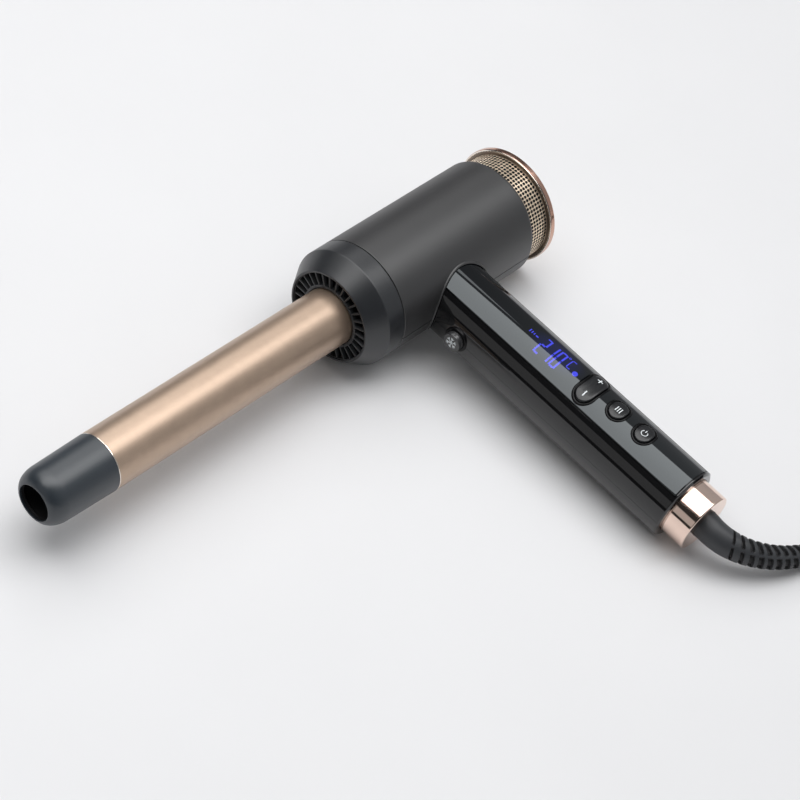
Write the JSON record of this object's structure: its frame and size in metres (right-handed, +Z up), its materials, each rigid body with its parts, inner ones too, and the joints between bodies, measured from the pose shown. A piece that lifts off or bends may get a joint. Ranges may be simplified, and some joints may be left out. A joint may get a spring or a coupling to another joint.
{
  "type": "curling wand",
  "caption": "Hot-air curling wand: a hair-dryer head and handle with a pull-off round barrel, display, buttons, pull-off intake filter, mains cord and plug.",
  "frame": {"origin": "on the table, under the middle of the box around the device without its cord", "axes": "+X from the barrel's tip towards the intake filter, along the head's axis; -Y along the handle; +Z up, off the table it lies on"},
  "size_m": [0.5572, 0.3903, 0.0666],
  "materials": {
    "tip_plastic": "satin",
    "champagne_metal": "satin pearl",
    "collar_plastic": "satin",
    "vent_plastic": "matt",
    "inner_plastic": "matt",
    "bare_aluminium": "plain",
    "ceramic": "matt ceramic",
    "switch_case": "plain",
    "wire_insulation": "matt",
    "socket_plastic": "matt",
    "contact_brass": "polished",
    "magnet": "plated",
    "soft_touch_charcoal": "soft touch",
    "mica": "sheet mica",
    "heating_alloy": "plain",
    "motor_steel": "plain",
    "bearing_steel": "polished",
    "winding": "enamelled copper wire",
    "impeller_plastic": "plain",
    "champagne_mesh": "satin",
    "taupe_metal": "satin",
    "rose_metal": "polished rose gold",
    "foam": "open foam",
    "piano_black": "gloss",
    "panel_glass": "gloss",
    "display_case": "matt",
    "display_blue": "lit",
    "button_plastic": "satin",
    "circuit_board": "solder mask",
    "screw_steel": "zinc",
    "cord_rubber": "matt",
    "plug_plastic": "satin"
  },
  "bodies": {
    "body": {"head_shell_upper": "soft_touch_charcoal", "head_shell_lower": "soft_touch_charcoal", "neck_trim": "collar_plastic", "outlet_ring": "inner_plastic", "head_magnets": "magnet", "contact_socket": "socket_plastic", "heat_shield": "mica", "heater_frame": "mica", "heating_elements": "heating_alloy", "fan_housing": "inner_plastic", "motor_can": "motor_steel", "fan_bearings": "bearing_steel", "motor_stator": "winding", "filter_seat": "inner_plastic", "handle_shell_upper": "piano_black", "handle_shell_lower": "piano_black", "control_panel": "panel_glass", "display_module": "display_case", "display_digits": "display_blue", "control_bezels": "piano_black", "cool_shot_bezel": "piano_black", "cool_shot_board": "circuit_board", "control_board": "circuit_board", "tact_switches": "inner_plastic", "wire_harness": "wire_insulation", "cord_clamp": "inner_plastic", "clamp_screws": "screw_steel", "shell_screws": "screw_steel", "end_ring": "rose_metal", "strain_relief": "cord_rubber", "mains_cord": "cord_rubber", "cord_coil": "cord_rubber", "plug_body": "plug_plastic", "plug_pins": "contact_brass"},
    "wand": {"tip_cap": "tip_plastic", "barrel_tube": "champagne_metal", "collar_shell": "collar_plastic", "vent_ring": "vent_plastic", "barrel_socket": "inner_plastic", "collar_back": "inner_plastic", "wand_magnets": "magnet", "heat_spreaders": "bare_aluminium", "barrel_heater": "ceramic", "barrel_thermostat": "switch_case", "heater_leads": "wire_insulation", "contact_plug": "socket_plastic", "contact_pins": "contact_brass"},
    "filter": {"filter_frame": "inner_plastic", "filter_band": "champagne_mesh", "filter_flange": "taupe_metal", "filter_rose_band": "rose_metal", "rear_grille": "champagne_mesh", "filter_foam": "foam"},
    "fan": {"fan_shaft": "bearing_steel", "impeller": "impeller_plastic", "rotor_magnet": "magnet"},
    "rocker": {"temperature_rocker": "button_plastic"},
    "mode": {"mode_button": "button_plastic"},
    "power": {"power_button": "button_plastic"},
    "cool_shot": {"cool_shot_button": "button_plastic"}
  },
  "joints": [
    {"name": "wand_pull", "type": "slide", "parent": "body", "child": "wand", "axis": [-1, 0, 0], "range_m": [0, 0.06]},
    {"name": "filter_pull", "type": "slide", "parent": "body", "child": "filter", "axis": [1, 0, 0], "range_m": [0, 0.04]},
    {"name": "fan_spin", "type": "hinge", "parent": "body", "child": "fan", "pos_m": [0.12705, 0.08868, 0.0333], "axis": [1, 0, 0], "continuous": true},
    {"name": "temperature_rock", "type": "hinge", "parent": "body", "child": "rocker", "pos_m": [0.09705, -0.03457, 0.04268], "axis": [0, 0.998, 0.0636], "range_deg": [-2.5, 2.5], "stiffness_Nm_per_rad": 0.5},
    {"name": "mode_press", "type": "slide", "parent": "body", "child": "mode", "axis": [0, 0.0636, -0.998], "range_m": [0, 0.0006], "stiffness_N_per_m": 1500},
    {"name": "power_press", "type": "slide", "parent": "body", "child": "power", "axis": [0, 0.0636, -0.998], "range_m": [0, 0.0006], "stiffness_N_per_m": 1500},
    {"name": "cool_shot_press", "type": "slide", "parent": "body", "child": "cool_shot", "axis": [1, 0, 0], "range_m": [0, 0.0015], "stiffness_N_per_m": 800}
  ]
}
